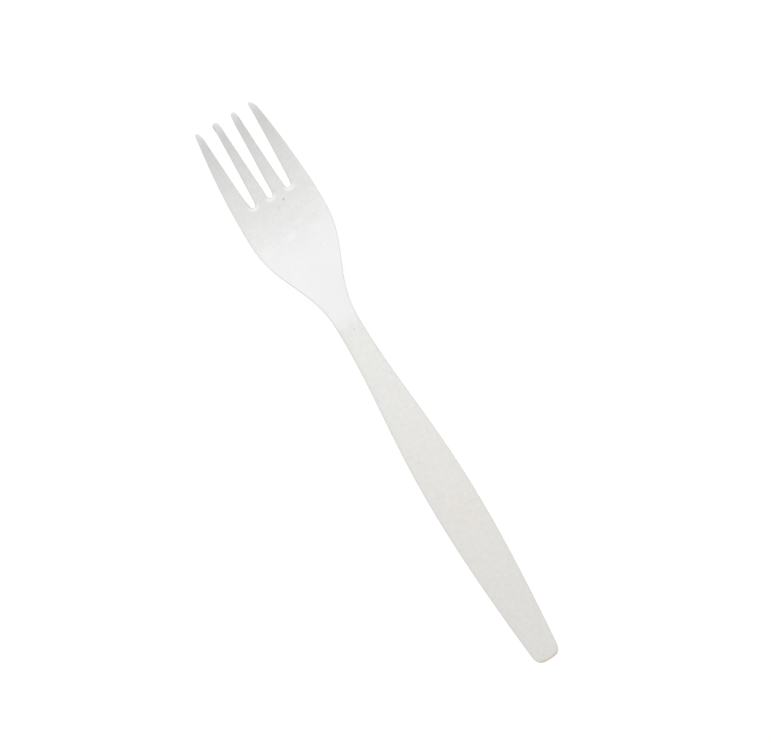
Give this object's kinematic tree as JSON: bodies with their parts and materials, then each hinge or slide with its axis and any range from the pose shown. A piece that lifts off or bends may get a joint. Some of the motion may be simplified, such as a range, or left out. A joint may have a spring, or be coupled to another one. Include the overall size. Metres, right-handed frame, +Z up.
{
  "type": "plastic fork",
  "caption": "Disposable white plastic dinner fork with a long slim handle, a narrow neck and a slotted, upturned head, lying hollow side up.",
  "frame": {"origin": "on the surface the fork lies on, under the middle of its length and width", "axes": "+Y along the fork from the handle's end to the tips, +Z up out of the bowl's hollow side"},
  "size_m": [0.0232, 0.1692, 0.0103],
  "materials": {
    "plastic": "satin moulded"
  },
  "bodies": {
    "root": {"fork": "plastic"}
  },
  "joints": []
}
